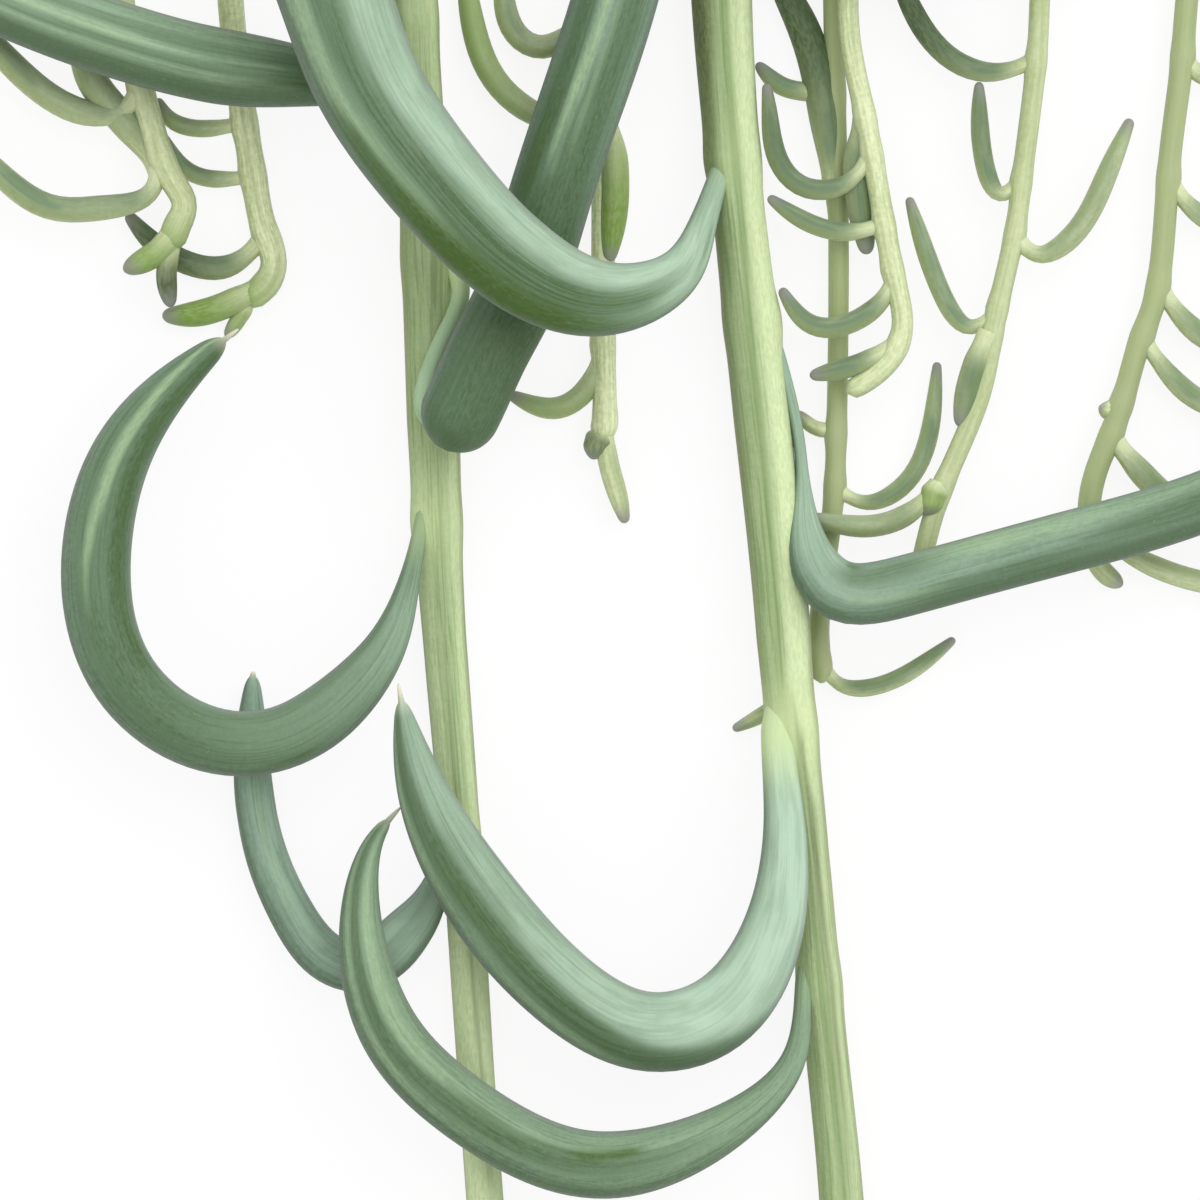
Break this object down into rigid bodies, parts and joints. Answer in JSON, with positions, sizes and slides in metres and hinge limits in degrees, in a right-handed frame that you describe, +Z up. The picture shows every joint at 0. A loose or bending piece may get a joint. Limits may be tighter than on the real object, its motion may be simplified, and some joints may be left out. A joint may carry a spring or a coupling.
{
  "type": "string of bananas",
  "caption": "Cut length of a trailing succulent: a crown stem with two hanging stems of curved, pointed banana-shaped leaves and thin young shoots, lying on a flat surface.",
  "frame": {"origin": "the small flat spot under the middle of the crown stem, on the surface that the plant lies on", "axes": "+X along the crown stem, +Y from the growing tips back towards the crown stem, +Z up from the surface"},
  "size_m": [0.0965, 0.1666, 0.0148],
  "materials": {
    "crown": "old stem, tan-green with pale corky flecks and leaf scars, matt",
    "stem": "pale yellow-green skin with darker lengthwise lines, satin",
    "leaf": "blue-green skin with a thin grey bloom, fine lengthwise lines and darker see-through bands, satin",
    "shoot": "young pale green skin, smooth, with grey-green small leaves, satin"
  },
  "bodies": {
    "root": {"crown_stem": "crown", "left_stem": "stem", "left_leaf_1": "leaf", "left_leaf_2": "leaf", "left_leaf_3": "leaf", "left_leaf_4": "leaf", "left_leaf_5": "leaf", "left_leaf_6": "leaf", "left_leaf_7": "leaf", "left_leaf_8": "leaf", "left_tip": "leaf", "right_stem": "stem", "right_leaf_1": "leaf", "right_leaf_2": "leaf", "right_leaf_3": "leaf", "right_leaf_4": "leaf", "right_leaf_5": "leaf", "right_leaf_6": "leaf", "right_leaf_7": "leaf", "right_leaf_8": "leaf", "right_tip": "leaf", "crown_leaf_1": "leaf", "crown_leaf_2": "leaf", "crown_leaf_3": "leaf", "shoot_1": "shoot", "shoot_2": "shoot", "shoot_3": "shoot", "shoot_4": "shoot", "shoot_5": "shoot", "shoot_6": "shoot", "shoot_7": "shoot"}
  },
  "joints": []
}
